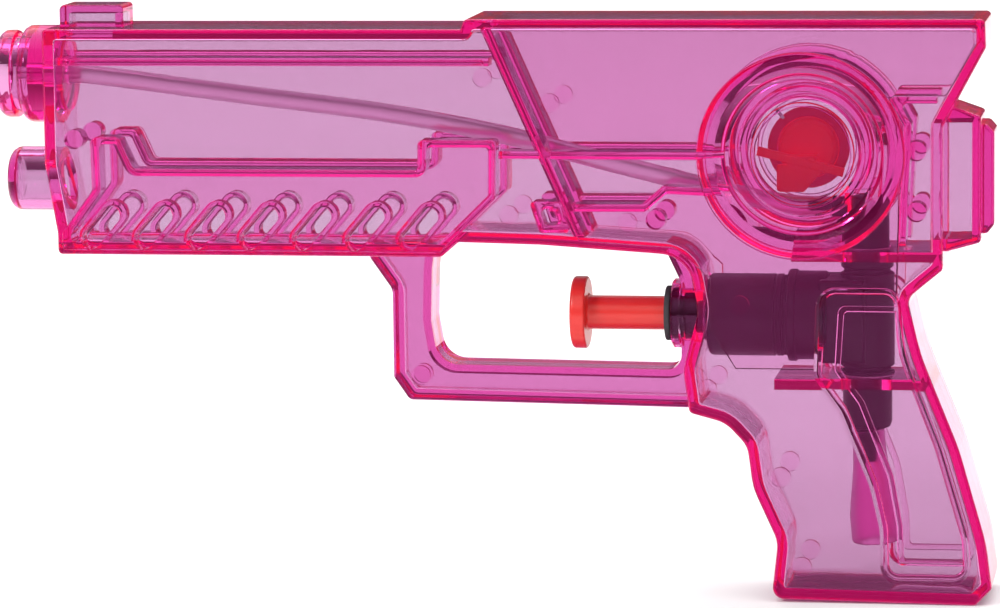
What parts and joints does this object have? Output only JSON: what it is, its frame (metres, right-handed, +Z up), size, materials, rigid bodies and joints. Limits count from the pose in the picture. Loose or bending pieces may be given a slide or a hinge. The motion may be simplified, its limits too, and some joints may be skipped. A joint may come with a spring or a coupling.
{
  "type": "water squirter",
  "caption": "Hand-pumped toy water pistol: two see-through half shells round a plunger pump with valves, tubes and a filler stopper.",
  "frame": {"origin": "middle of the hand grip, on the parting plane, where a hand holds the squirter", "axes": "+X towards the back, so the muzzle points along -X; +Y out of the right shell; +Z up"},
  "size_m": [0.2016, 0.0258, 0.1185],
  "materials": {
    "clear_pink": "clear pink injection-moulded plastic",
    "clear_tube": "clear soft tube",
    "black_plastic": "black moulded plastic",
    "rubber": "black rubber",
    "steel": "bright steel",
    "red_plastic": "red moulded plastic"
  },
  "bodies": {
    "frame": {"left_shell": "clear_pink", "right_shell": "clear_pink", "nozzle_jet": "clear_tube", "delivery_tube": "clear_tube", "dip_tube": "clear_tube", "pump_barrel": "black_plastic", "gland_ring": "black_plastic", "rod_seal": "rubber", "barrel_gasket": "rubber", "valve_body": "black_plastic", "outlet_gasket": "rubber", "outlet_elbow": "black_plastic", "inlet_gasket": "rubber", "inlet_cap": "black_plastic", "return_spring": "steel"},
    "trigger": {"plunger": "red_plastic", "piston_cup": "rubber"},
    "stopper": {"filler_stopper": "red_plastic"},
    "inlet_valve": {"inlet_ball": "steel"},
    "outlet_valve": {"outlet_ball": "steel"}
  },
  "joints": [
    {"name": "trigger_pull", "type": "slide", "parent": "frame", "child": "trigger", "axis": [1, 0, 0], "range_m": [0, 0.013], "stiffness_N_per_m": 180, "springref_m": -0.01, "deforming": ["return_spring"]},
    {"name": "stopper_pull", "type": "slide", "parent": "frame", "child": "stopper", "axis": [0, 1, 0], "range_m": [0, 0.0054]},
    {"name": "inlet_lift", "type": "slide", "parent": "frame", "child": "inlet_valve", "axis": [0, 0, 1], "range_m": [0, 0.0011]},
    {"name": "outlet_lift", "type": "slide", "parent": "frame", "child": "outlet_valve", "axis": [0, 0, 1], "range_m": [0, 0.0011]}
  ]
}
